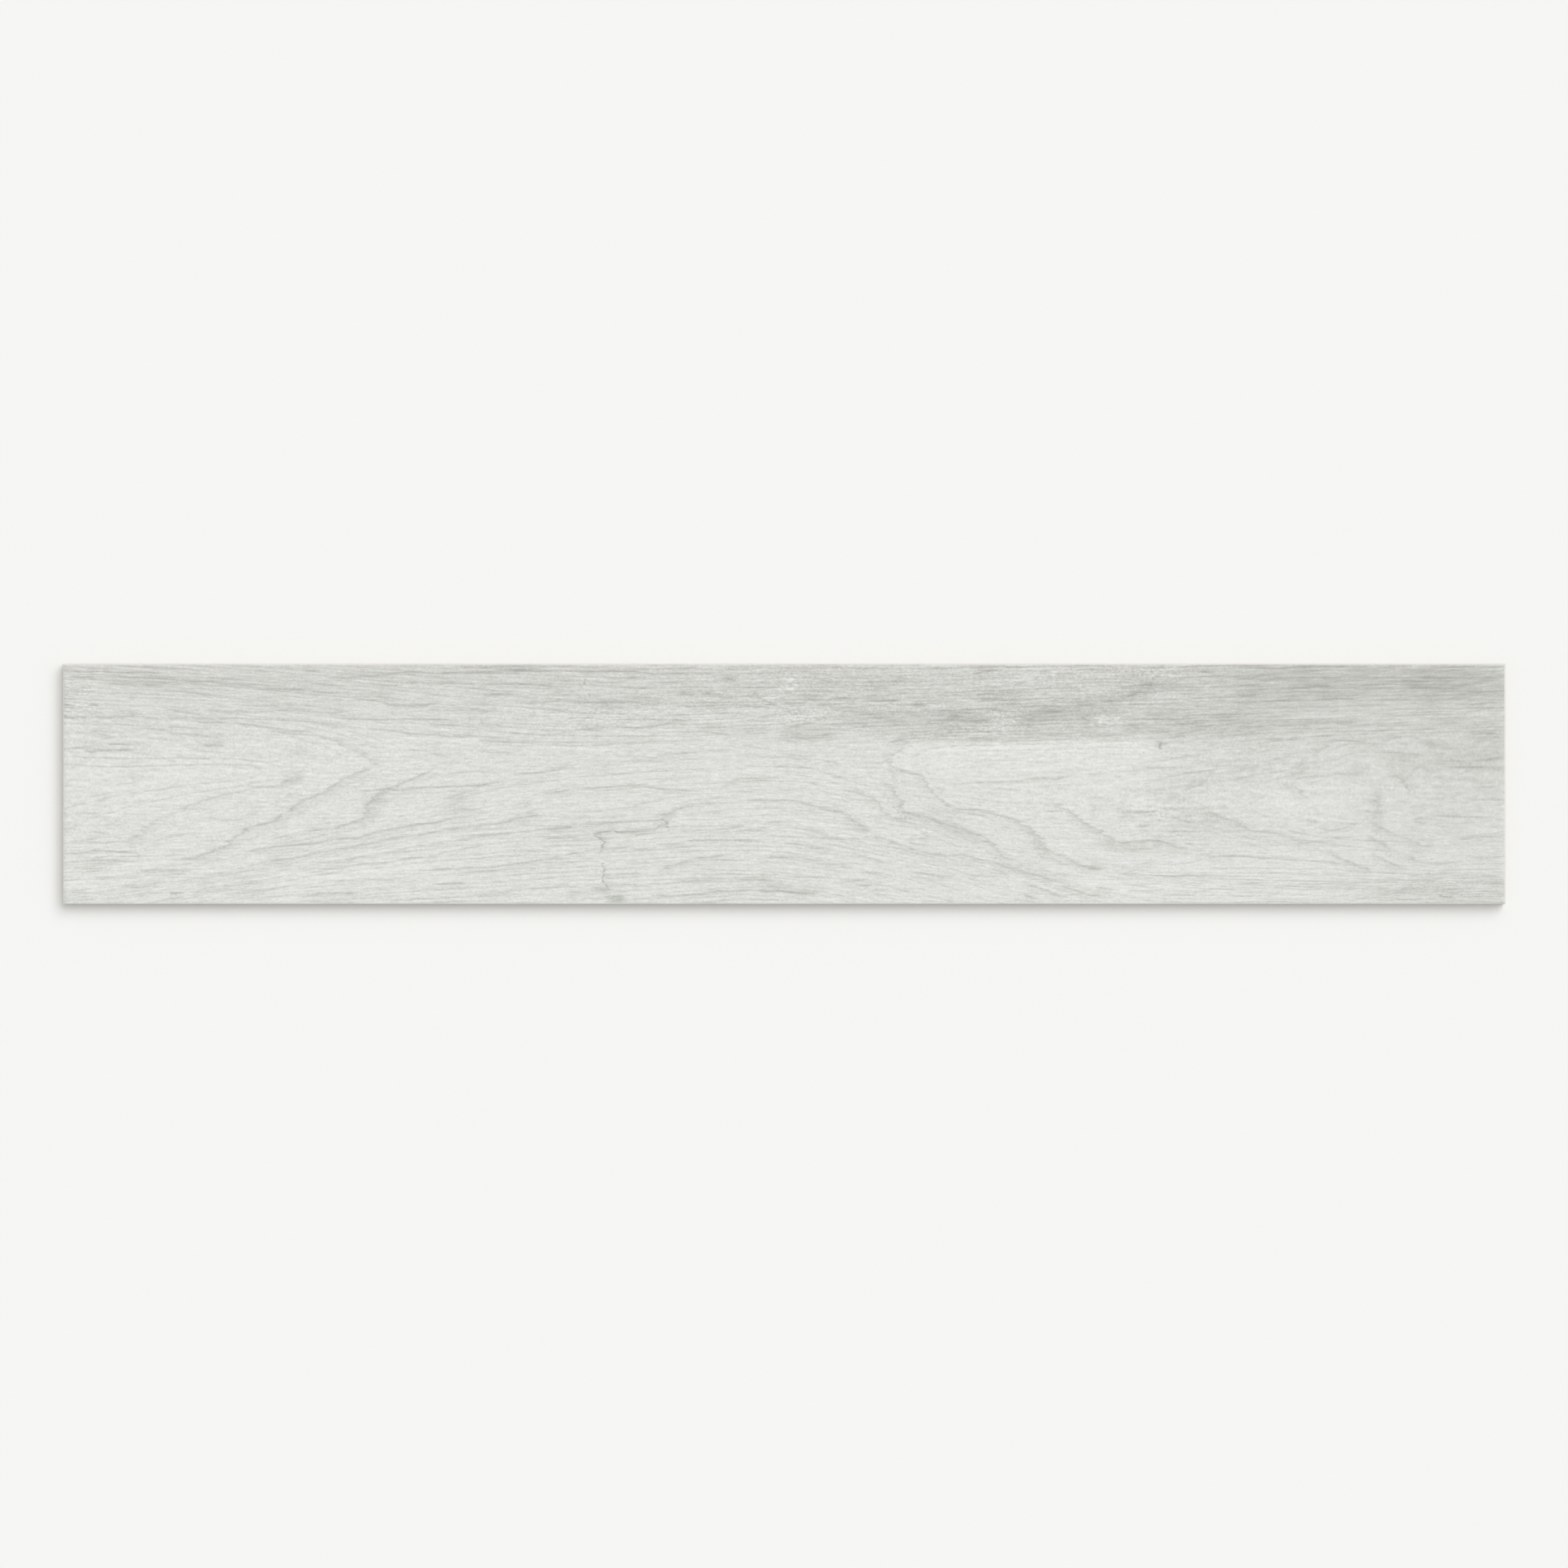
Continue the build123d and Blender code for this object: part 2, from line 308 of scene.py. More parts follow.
    (0.75, [(18, -50), (42, -50.5)]), (0.5, [(48, -54), (58, -56.5), (67, -59)]),
    (0.9, [(78, -54), (92, -57), (107, -59.5)]), (0.6, [(113, -57), (125, -58), (137, -57)]),
    (1.0, [(128, -53), (142, -57)]), (1.1, [(3, -58), (20, -58.3), (32, -58.5)]),
    (0.6, [(31, -61), (45, -60.5), (54, -60)]), (0.8, [(45, -63.5), (55, -63)]),
    (0.5, [(53, -66.5), (67, -66)]), (0.7, [(-2, 20), (10, 17.5), (18, 16.5)]),
    (0.4, [(23, 15), (37, 11.5)]), (0.4, [(28, 5), (40, 3.5)]), (0.4, [(43, 3), (52, 5.5)]),
    (0.4, [(13, 1), (27, -1)]), (0.25, [(101, -0.5), (112, 0), (125, 1), (140, 1.5), (157, 1)]),
    (0.4, [(60, 14), (70, 16)]), (1.2, [(170, -62), (180, -66), (188, -68.5), (195, -70), (205, -71)]),
    (0.5, [(158, -53), (170, -56), (182, -57)]), (1.0, [(148, -61), (160, -65), (170, -69), (180, -72)]),
    (0.8, [(148, -68), (160, -72)]),
    # right: smoke lines, then the second tongue
    (0.6, [(148, 40), (160, 39.5), (170, 40)]), (0.6, [(156, 45), (165, 44.5), (177, 45)]),
    (0.7, [(178, 48), (190, 49.5), (200, 51), (205, 52), (215, 55), (222, 58), (234, 59)]),
    (0.8, [(181, 42), (188, 40.5), (193, 38)]), (0.8, [(228, 73), (242, 72.5)]),
    (1.2, [(258, 70), (270, 70)]), (0.45, [(278, 66), (290, 65.5), (302, 67)]),
    (0.7, [(278, 55), (290, 55), (300, 57.5)]),
    (0.3, [(98, 28), (130, 27.5), (150, 29), (165, 30.5), (180, 29.5), (195, 30.5), (210, 30)]),
    (0.7, [(212, 29), (216, 31), (224, 36)]), (0.6, [(266, 41), (287, 41.5)]),
    (0.5, [(243, 31), (258, 33), (270, 35)]), (0.5, [(148, 3), (165, 4), (172, 3), (182, 6)]),
    (0.4, [(188, 6), (202, 6.5)]), (0.5, [(213, 8), (220, 9), (235, 10), (247, 10)]),
    (1.0, [(248, -5), (255, -1.5), (264, 1.5)]), (0.2, [(276, 6), (285, 9), (295, 11)]),
    (0.85, [(166, -10), (172, -14), (178, -17.5), (183, -21), (188, -25), (195, -28.5), (200, -32),
            (205, -34.5), (210, -37), (218, -36), (228, -35.3), (236, -36), (242, -38), (248, -40),
            (257, -41.8)]),
    (0.75, [(163, -17), (177, -17)]), (0.85, [(213, -17), (225, -17.5), (235, -17.5)]),
    (0.6, [(218, -27), (230, -25.5)]), (0.5, [(233, -30), (250, -29.5), (260, -30)]),
    (0.4, [(240, -21), (254, -21)]),
    (0.7, [(256, -44), (270, -45.5), (285, -45), (300, -46.5), (312, -45)]),
    (0.6, [(262, -16), (268, -19), (278, -22.5), (285, -25.5), (292, -29.5), (300, -29.8), (308, -31),
           (315, -33), (322, -37), (335, -36), (345, -34), (354, -33)]),
    (1.0, [(204, -53), (212, -56.5), (225, -57), (240, -57.5), (258, -57.5), (275, -57)]),
    (0.4, [(211, -55), (222, -50.5), (234, -47)]), (0.7, [(283, -62), (300, -62)]),
    (0.8, [(193, -64), (207, -66)]), (0.7, [(213, -67), (237, -66.5)]), (0.35, [(248, -68), (272, -66)]),
    # right end: the eye, the arcs over it and the edge
    (0.45, [(316, 1), (322, -5), (329, -11)]),
    (0.4, [(316, 2), (322, 4), (330, 5), (338, 5), (345, 7), (352, 6), (360, 7)]),
    (0.45, [(365, -1), (370, -7), (371, -13), (368, -19), (366, -26)]), (0.6, [(326, -22), (333, -24)]),
    (0.65, [(333, -26), (340, -29), (348, -28), (354, -25), (362, -24)]),
    (0.75, [(378, 6), (385, 2.5), (389, -3), (391, -9)]),
    (0.5, [(328, 17), (336, 23), (342, 27), (352, 27), (367, 26)]),
    (0.4, [(370, 26), (382, 29), (392, 30)]), (0.5, [(300, 36), (312, 36), (320, 37), (332, 36)]),
    (0.6, [(343, 37), (358, 36.5), (370, 36.5), (382, 36)]), (0.5, [(298, 28), (327, 28)]),
    (0.9, [(328, 52.5), (345, 53), (362, 52.5)]), (0.7, [(318, 60), (335, 61), (347, 61.5)]),
    (0.5, [(298, 64), (310, 66)]), (0.9, [(428, 31), (440, 31.5), (452, 31)]),
    (0.7, [(413, 10.5), (430, 10.5), (442, 10.5)]), (0.5, [(413, 14.5), (435, 14.5), (452, 17)]),
    (0.7, [(428, -10), (452, -10)]), (0.5, [(428, -2), (447, -2)]),
    (0.5, [(403, -20), (425, -20.5), (442, -20.5)]), (0.6, [(418, -34.5), (432, -33), (452, -32.5)]),
    (0.6, [(428, -46), (452, -45.5)]), (0.8, [(438, -62), (450, -61.5)]), (0.6, [(433, -57), (447, -57)]),
    (0.8, [(338, -42), (348, -47), (357, -50), (365, -54), (372, -55)]),
    (0.8, [(362, -31), (372, -37), (384, -43)]), (0.8, [(364, -23), (374, -28.5), (386, -34)]),
    (0.85, [(366, -43), (378, -49.5), (390, -53)]), (0.5, [(384, -42), (395, -48), (405, -50), (424, -48)]),
    (0.6, [(386, -32), (398, -39), (408, -38)]), (0.7, [(370, -69), (387, -68.5)]),
    (0.6, [(383, -65.5), (394, -63.5)]), (0.8, [(368, -65), (378, -66)]), (0.5, [(396, -60), (414, -61)]),
    (0.5, [(403, -65), (422, -66)]), (0.9, [(408, -70), (420, -71)]), (0.25, [(368, -59), (387, -59)]),
    (0.5, [(388, -57), (407, -58)]), (0.2, [(398, 24.5), (414, 25)]), (0.4, [(383, 15), (397, 13.5)]),
    (0.5, [(393, -21), (399, -27)]),
]

# Checks, cracks that opened across the grain as the board dried: drawn as above, but sharp
dryingCracks = [
    (1.3, [(-120, -31.5), (-113, -30), (-107, -29), (-104, -30.5), (-95, -30), (-90, -29.3), (-85, -28.8),
           (-80, -28.5), (-78, -26), (-74, -26), (-71, -28)]),
    (1.3, [(-119, -31.5), (-114, -34.5), (-112, -37), (-114.5, -40), (-113, -43)]),
    (1.3, [(-78, -21), (-75, -22.5), (-73, -24), (-76, -26)]),
    (1.1, [(-114, -48.5), (-112, -53), (-112.5, -57), (-113, -61), (-110, -64), (-109, -67)]),
    (1.0, [(-124, 66), (-124.5, 61)]), (1.0, [(-121, 57.5), (-121, 54)]),
    (1.0, [(-120, 52.5), (-119.5, 49)]),
    (1.5, [(-19, 58), (-17, 55.5), (-15, 53.5), (-12, 51.5), (-8, 50), (-5, 48.5)]),
    (1.4, [(235.5, 26.5), (234.8, 24.5), (234.5, 21)]),
]

# Smoke and whitewash: middle x and y, half length, half width, how far it darkens (below 0 it
# lightens), how hard its border is, and its rise per mm along the plank
tonePatches = [
    # veil along the top, then the smoke right of the middle
    (-225, 68, 300, 24, 0.22, 2.5, 0), (110, 60, 190, 28, 0.25, 3, 0), (150, 37, 95, 10.5, 0.24, 6, 0.01),
    (55, 40, 28, 6, 0.20, 3, 0), (112, 41, 16, 4.5, 0.26, 3, 0), (133, 55, 13, 5, 0.32, 3, 0),
    (185, 48, 42, 6.5, 0.28, 3, 0.14), (228, 61, 18, 4, 0.20, 3, 0.1), (262, 40, 40, 14, 0.22, 3, 0),
    (368, 67, 92, 14, 0.61, 4, 0), (436, 59, 46, 11, 0.26, 4, 0), (365, 50, 95, 6, 0.20, 3, 0),
    (420, 26, 110, 22, 0.26, 3, 0), (445, -5, 60, 45, 0.20, 3, 0), (425, -68, 60, 9, 0.20, 3, 0),
    (15, 31, 18, 5, 0.24, 3, 0), (-100, 51, 30, 4, 0.20, 3, 0), (-175, 72, 25, 4, 0.20, 3, 0),
    (-385, 63, 28, 4, 0.16, 3, 0), (275, 14, 45, 16, 0.17, 3, 0), (268, -15, 40, 22, 0.12, 3, 0),
    (235, 67, 60, 10, 0.16, 3, 0), (305, 42, 45, 16, 0.16, 3, 0), (-395, 34, 60, 10, 0.10, 3, 0),
    (-150, 30, 70, 26, 0.09, 3, 0), (0, 22, 60, 12, 0.09, 3, 0), (370, -20, 50, 30, 0.08, 3, 0),
    # smudges along the lines
    (-356, 27, 6, 5, 0.20, 3, 0), (-254, 14, 2.5, 3, 0.30, 3, 0), (-255, -12, 8, 8, 0.22, 3, 0.8),
    (-204, -14, 10, 8, 0.20, 3, 0), (-306, 4, 6, 5, 0.22, 3, 0.4), (-305, 20, 10, 6, 0.16, 3, 0),
    (-330, -16, 4, 4, 0.20, 3, 0), (-316, -46, 5, 4, 0.20, 3, 0), (-385, -54, 14, 2.5, 0.20, 3, 0),
    (-105, -72, 6, 2.6, 0.75, 3, 0), (-114, -66, 6, 1.6, 0.50, 3, 0), (-72, -19, 7, 2.6, 0.28, 3, 0.2),
    (-96, -29.5, 24, 2.6, 0.14, 3, 0.05), (-113, -37, 3, 7, 0.14, 3, 0), (-111, -57, 3, 11, 0.12, 3, 0),
    (-75, -24, 5, 4, 0.16, 3, 0), (-8, -63, 9, 4, 0.28, 3, 0), (14, -67, 11, 3, 0.26, 3, 0),
    (105, -28, 22, 5, 0.22, 3, -0.42), (73, -10, 6, 9, 0.10, 3, -1.5), (47, -26, 7, 4, 0.20, 3, -0.6),
    (215, -39, 18, 3, 0.28, 3, 0), (213, -18, 6, 6, 0.20, 3, 0), (255, -20, 14, 7, 0.16, 3, 0),
    (193, -52, 6, 2.2, 0.30, 3, 0), (158, -38, 6, 5, 0.20, 3, -0.8), (321, 8, 6, 6, 0.20, 3, 0.8),
    (355, 6, 7, 3, 0.14, 3, 0), (368, -12, 5, 12, 0.14, 3, 0), (235, -5, 16, 3, 0.14, 3, 0),
    (396, -20, 4, 6, 0.14, 3, 0), (228, 63, 2.5, 2.2, 0.50, 3, 0), (392, 61.5, 3, 1.6, 0.15, 3, 0),
    (235, 25, 2.6, 1.5, 0.45, 3, 0), (-34, 65.5, 3.4, 2.8, 0.30, 3, 0), (-95, 67, 2.6, 1.2, 0.30, 3, 0),
    (118, -58.5, 2, 1, 0.4, 3, 0), (65, 64, 14, 3, 0.20, 3, 0), (-120, -26, 30, 12, 0.07, 3, 0),
    (270, -32, 50, 10, 0.07, 3, 0),
    # whitewash left pale
    (150, 23, 82, 3.2, -0.14, 4, 0.01), (165, 14, 85, 8, -0.06, 3, 0), (-135, 22.5, 24, 1.6, -0.14, 3, 0),
    (-200, 27, 9, 1.4, -0.16, 3, 0), (-420, -57, 60, 15, -0.12, 3, 0), (-270, -50, 70, 14, -0.12, 3, 0.12),
    (240, -62, 75, 10, -0.12, 3, 0), (300, -12, 35, 10, -0.06, 3, 0), (-390, 2, 60, 14, -0.05, 3, 0),
    (-418, -17, 10, 6, -0.08, 3, 0), (137, 38, 9, 7, -0.20, 3, 0), (202, 39.5, 10, 3.2, -0.28, 3, 0),
    (4, 63, 6, 4, -0.18, 3, 0), (-9.5, 53, 2.8, 1.5, -0.40, 3, 0), (-73, 32, 6, 2, -0.15, 3, 0),
]

# Chalky spots where the whitewash stayed in the pores, given as the patches are. Below 0 the
# grain is calmer there.
chalkPatches = [
    (95, 58, 165, 22, 0.35, 4, 0), (-130, 56, 100, 22, 0.12, 4, 0), (390, 5, 90, 75, -0.22, 4, 0),
    (150, 5, 90, 14, -0.15, 4, 0), (-420, 2, 90, 16, -0.15, 4, 0), (137, 38, 11, 8, 0.5, 3, 0),
    (202, 39.5, 12, 4, 0.5, 3, 0), (4, 63, 8, 5, 0.5, 3, 0), (-10, 52, 4, 3, 0.6, 3, 0),
    (195, 65, 48, 9, 0.22, 3, 0), (110, 33, 18, 4, 0.6, 3, 0), (235, 70, 14, 4, 0.6, 3, 0),
    (-440, 52, 12, 16, 0.4, 3, 0), (10, 42, 14, 5, 0.5, 3, 0), (-120, 40, 40, 10, 0.3, 3, 0),
    (240, -17, 14, 4, 0.4, 3, 0), (410, -65, 30, 8, 0.35, 3, 0),
]

# Smooth surfaces through the growth rings and the rows of fibre
ringSurface = {
    "guideStep": 10.0,  # mm between the samples taken along a guide
    "lengthwise": 0.30,  # the figure is drawn out along the plank, so x counts for less than y
    "slack": 2.0,  # lets the surface pass close to a guide rather than through it
    "blockSize": 3000,  # places that are read at a time
    "leastSlope": 0.004,  # rings per mm that are taken where the surface is level
}
tiny = 1e-9  # keeps divisions and logarithms clear of zero


def alongGuide(points, step):
    # evenly spaced points on a guide line
    corners = np.array(points, float)
    reach = np.concatenate([[0], np.cumsum(np.hypot(*np.diff(corners, axis=0).T))])
    places = np.linspace(0, reach[-1], max(2, int(reach[-1] / step) + 1))
    return np.stack([np.interp(places, reach, corners[:, k]) for k in (0, 1)], 1)


def fitSurface(lines):
    # weights of a smooth surface of levels, a thin-plate spline, through all the given lines
    guides = [(level, alongGuide(points, ringSurface["guideStep"])) for level, points in lines]
    samples = np.concatenate([g for _, g in guides]) * [ringSurface["lengthwise"], 1]
    levels = np.concatenate([np.full(len(g), level) for level, g in guides])
    count = len(samples)
    matrix = np.zeros((count + 3, count + 3))
    squared = ((samples[:, None] - samples[None]) ** 2).sum(2) + tiny
    matrix[:count, :count] = 0.5 * squared * np.log(squared) + ringSurface["slack"] * np.eye(count)
    matrix[:count, count] = 1
    matrix[:count, count + 1:] = samples
    matrix[count:, :count] = matrix[:count, count:].T
    return samples, np.linalg.solve(matrix, np.concatenate([levels, np.zeros(3)]))


def readSurface(fitted, x, y):
    # level, and its change per mm along and across the plank
    samples, weights = fitted
    count = len(samples)
    squeeze = ringSurface["lengthwise"]
    found = []
    for block in np.array_split(np.stack([x * squeeze, y], 1), max(1, len(x) // ringSurface["blockSize"])):
        apart = block[:, None] - samples[None]
        squared = (apart ** 2).sum(2) + tiny
        logs = np.log(squared)
        level = 0.5 * (squared * logs) @ weights[:count] + weights[count] + block @ weights[count + 1:]
        slope = np.einsum("psk,ps->pk", apart, (logs + 1) * weights[:count]) + weights[count + 1:]
        found.append(np.column_stack([level, slope[:, 0] * squeeze, slope[:, 1]]))
    return np.concatenate(found).T


# How the drawn lines are read. Sizes in mm.
lineSetup = {
    "sampleStep": 0.8,  # between the samples along a line
    "roundedOver": 5.0,  # length over which the corners of a line are smoothed, a third of it at most
    "taper": 9.0, "leastTaper": 0.1,  # length of its fading ends, about a third of it at most
    "crackTaper": 1.5,
    "taperCurve": 0.7,  # below 1 the ends stay dark for longer
    "lift": 0.55,  # below 1 weak lines come up
    "reach": 2.6,  # how far off a line is still read
    "crackSlip": 0.4,  # share of the rows' slip that a crack takes
    "steep": 0.45,  # slant at which a line counts as fully steep
    "steepLine": 0.52,  # share of its darkness that a steep line keeps
    "lostInSmoke": 0.3,  # share of its darkness that a line loses in full smoke
    "shade": (0.10, 0.27),  # soft shade beside a level line and beside a steep one
    "shadeReach": 8.0, "shadeInside": 2.0,  # its width away from the heart of the board and towards it
    "shadeEnd": 10.8, "shadeFade": 4.5,  # how far off it is still read, and over what length it is let go
}


def drawLines(fitted):
    # samples along every drawn line: place, direction, darkness, which tapers off to both ends,
    # 1 for a line of the grain or 0 for a crack, and 1 or -1 for the side that faces away from the heart
    setup = lineSetup
    samples = []
    kinds = ((woodLines, setup["roundedOver"], setup["taper"], 1), (dryingCracks, 0, setup["crackTaper"], 0))
    for lines, rounded, taper, ofGrain in kinds:
        for darkness, points in lines:
            path = alongGuide(points, setup["sampleStep"])
            window = min(int(rounded / setup["sampleStep"]), len(path) // 3)
            if window > 1:
                padded = np.pad(path, ((window, window), (0, 0)), mode="reflect", reflect_type="odd")
                kernel = np.ones(window) / window
                smooth = [np.convolve(padded[:, k], kernel, "same")[window:-window] for k in (0, 1)]
                path = np.stack(smooth, 1)
            direction = np.gradient(path, axis=0)
            direction /= np.linalg.norm(direction, axis=1, keepdims=True) + tiny
            reach = np.arange(len(path)) * setup["sampleStep"]
            toEnd = np.minimum(reach, reach[::-1])
            fadeOver = min(taper, reach[-1] / 3 + setup["leastTaper"])
            strength = darkness ** setup["lift"] * np.clip(toEnd / fadeOver, 0, 1) ** setup["taperCurve"]
            slopeX, slopeY = readSurface(fitted, path[:, 0], path[:, 1])[1:]
            outward = 1.0 if (direction[:, 0] * slopeY - direction[:, 1] * slopeX).sum() > 0 else -1.0
            same = np.ones(len(path))
            samples.append(np.column_stack([path, direction, strength, same * ofGrain, same * outward]))
    return np.concatenate(samples)


def readLines(fitted, x, y):
    # for each place: offset from the nearest drawn line (positive away from the heart of the board), how much
    # that offset changes along the plank, the line's darkness, and the strength of the soft shade beside it
    setup = lineSetup
    drawn = drawLines(fitted)
    tree = KDTree(len(drawn))
    for k, sample in enumerate(drawn):
        tree.insert((sample[0], sample[1], 0), k)
    tree.balance()
    nearest = np.array([tree.find((px, py, 0))[1] for px, py in zip(x, y)])
    lineX, lineY, alongX, alongY, strength, ofGrain, outward = drawn[nearest].T
    acrossX, acrossY = x - lineX, y - lineY
    away = np.hypot(acrossX, acrossY)
    offset = (alongX * acrossY - alongY * acrossX) * outward
    lean = -alongY * outward * np.where(ofGrain > 0, 1, setup["crackSlip"])
    steep = np.clip(np.abs(alongY) / setup["steep"], 0, 1) * ofGrain
    reach = setup["reach"] + woodGrain["slipSize"] * np.abs(lean)  # a slanting line slips further
    darkness = strength * np.clip(reach - away, 0, 1) * (1 - steep * (1 - setup["steepLine"]))
    level, slanting = setup["shade"]
    shade = strength * ofGrain * (level + steep * (slanting - level))
    shade *= np.clip((setup["shadeEnd"] - away) / setup["shadeFade"], 0, 1)
    return offset, lean, darkness, shade


def readPatches(patches, x, y):
    # all soft patches added up at each place
    total = np.zeros(x.shape)
    for middleX, middleY, halfLength, halfWidth, depth, border, rise in patches:
        up = y - middleY - rise * (x - middleX)
        away = np.abs((x - middleX) / halfLength) ** border + np.abs(up / halfWidth) ** border
        total += depth * np.exp(-away)
    return total


# The tile as one closed mesh: a fine grid for the pressed face, its ground edges, and the keyed back
meshSetup = {
    "quadsAlong": 350, "quadsAcross": 250, "sideRows": 3,
    "closerAt": -100, "closerOver": 34, "closer": 1.3,  # columns stand closer together round the cracks
    "spacingSteps": 4000,  # steps in which that spacing is added up
    "levelMargin": 0.01,  # mm by which a point may miss a level of the solid
    "weldWithin": 1e-6,  # m
    "faceBand": (0.004, 0.70), "backBand": (0.715, 0.895),  # heights on the flat map
    "edgeBand": (0.905, 0.024, 0.019),  # where the edges start on it, their spacing and their height
}


def layOut(mesh):
    # flat map of the tile: the face on the largest band, then the back, then the four edges
    layer = mesh.uv_layers.new(name="OFBake")
    corners = np.empty(len(mesh.loops), np.int32)
    mesh.loops.foreach_get("vertex_index", corners)
    flat = np.empty(len(mesh.vertices) * 3, np.float32)
    mesh.vertices.foreach_get("co", flat)
    across = flat.reshape(-1, 3)[corners] / [tileLength * mm, tileWidth * mm, faceHeight * mm] + [0.5, 0.5, 0]
    sides = np.empty(len(mesh.polygons) * 3, np.float32)
    mesh.polygons.foreach_get("normal", sides)
    sides = sides.reshape(-1, 3)
    kinds = np.empty(len(mesh.polygons), np.int32)
    mesh.polygons.foreach_get("material_index", kinds)
    sizes = np.empty(len(mesh.polygons), np.int32)
    mesh.polygons.foreach_get("loop_total", sizes)
    isEnd = np.abs(sides[:, 0]) > np.abs(sides[:, 1])
    strip = np.where(isEnd, np.where(sides[:, 0] > 0, 1, 3), np.where(sides[:, 1] > 0, 2, 0))
    isEnd, strip, kinds = np.repeat(isEnd, sizes), np.repeat(strip, sizes), np.repeat(kinds, sizes)
    start, spacing, height = meshSetup["edgeBand"]
    edgeV = start + spacing * strip + height * across[:, 2]
    faceV, backV = [low + (high - low) * across[:, 1]
                    for low, high in (meshSetup["faceBand"], meshSetup["backBand"])]
    u = np.where((kinds == 1) & isEnd, across[:, 1], across[:, 0])
    v = np.choose(kinds, [faceV, edgeV, backV])
    layer.data.foreach_set("uv", np.column_stack([u, v]).astype(np.float32).ravel())


def buildTile():
    setup = meshSetup
    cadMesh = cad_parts["porcelain_tile"].data
    cadPoints = np.array([v.co for v in cadMesh.vertices]) / mm
    levels = np.unique(cadPoints[:, 2].round(3))  # ribs, pocket floors, back bevel, face bevel, face
    pocketFloor, backBevelTop, faceBevelFoot = levels[1], levels[2], levels[-2]
    backInset, faceInset = backBevelTop - levels[0], faceHeight - faceBevelFoot
    halfLength, halfWidth = tileLength / 2, tileWidth / 2
    nx, ny = setup["quadsAlong"], setup["quadsAcross"]

    spread = np.linspace(-halfLength + faceInset, halfLength - faceInset, setup["spacingSteps"] + 1)
    crowding = 1 + setup["closer"] * np.exp(-((spread - setup["closerAt"]) / setup["closerOver"]) ** 4)
    crowding = np.concatenate([[0], np.cumsum((crowding[1:] + crowding[:-1]) / 2)])
    xs = np.interp(np.linspace(0, crowding[-1], nx + 1), crowding, spread)
    ys = np.linspace(-halfWidth + faceInset, halfWidth - faceInset, ny + 1)
    gridX, gridY = np.meshgrid(xs, ys)
    points = [np.stack([gridX.ravel(), gridY.ravel(), np.full(gridX.size, faceHeight)], 1)]
    index = np.arange(gridX.size).reshape(gridX.shape)
    quads = np.stack([index[:-1, :-1], index[:-1, 1:], index[1:, 1:], index[1:, :-1]], -1)
    faces = quads.reshape(-1, 4).tolist()
    kinds = [0] * len(faces)  # 0 face, 1 ground edge, 2 back

    # rings of points round the edge, from the face down to the back bevel
    rim = np.concatenate([index[0, :-1], index[:-1, -1], index[-1, :0:-1], index[:0:-1, 0]])
    outward = [halfLength / (halfLength - faceInset), halfWidth / (halfWidth - faceInset)]
    outline = points[0][rim, :2] * outward
    ring = rim
    total = gridX.size
    for height in np.linspace(faceBevelFoot, backBevelTop, setup["sideRows"] + 1):
        points.append(np.column_stack([outline, np.full(len(rim), height)]))
        below = np.arange(total, total + len(rim))
        total += len(rim)
        faces += np.stack([ring, below, np.roll(below, -1), np.roll(ring, -1)], 1).tolist()
        kinds += [1] * len(rim)
        ring = below

    # back bevel: four sloping strips, each fanned from the two corners of the back
    corners = np.array([[-1, -1], [1, -1], [1, 1], [-1, 1]]) * [halfLength - backInset, halfWidth - backInset]
    points.append(np.column_stack([corners, np.zeros(4)]))
    starts = [0, nx, nx + ny, 2 * nx + ny, 2 * (nx + ny)]
    for side in range(4):
        near, far = total + side, total + (side + 1) % 4
        first, last = starts[side], starts[side + 1]
        middle = (first + last) // 2
        for k in range(first, last):
            corner = near if k < middle else far
            faces.append([ring[k], corner, ring[(k + 1) % len(rim)]])
        faces.append([ring[middle], near, far])
        kinds += [1] * (last - first + 1)
    total += 4

    # keyed back, as the solid has it
    for polygon in cadMesh.polygons:
        spots = list(polygon.vertices)
        if cadPoints[spots, 2].max() <= pocketFloor + setup["levelMargin"]:
            faces.append([total + s for s in spots])
            kinds.append(2)
    points.append(cadPoints)

    mesh = bpy.data.meshes.new("porcelain_tile_dressed")
    mesh.from_pydata((np.concatenate(points) * mm).tolist(), [], faces)
    mesh.polygons.foreach_set("material_index", kinds)
    mesh.polygons.foreach_set("use_smooth", [kind == 0 for kind in kinds])
    shaped = bmesh.new()
    shaped.from_mesh(mesh)
    bmesh.ops.remove_doubles(shaped, verts=shaped.verts, dist=setup["weldWithin"])
    bmesh.ops.delete(shaped, geom=[v for v in shaped.verts if not v.link_faces], context="VERTS")
    bmesh.ops.recalc_face_normals(shaped, faces=shaped.faces)
    openEdges = sum(1 for e in shaped.edges if len(e.link_faces) != 2)
    shaped.to_mesh(mesh)
    shaped.free()
    layOut(mesh)
    print("stage: tile mesh,", len(mesh.polygons), "faces,", openEdges, "open edges")
    return mesh


# what the figure of the grain gives each point, for the print and the relief alike
figureFields = ("fibreRow", "ringNumber", "ringSlope", "ringLean", "ringFaint",
                "lineOffset", "lineLean", "lineDarkness", "lineShade")


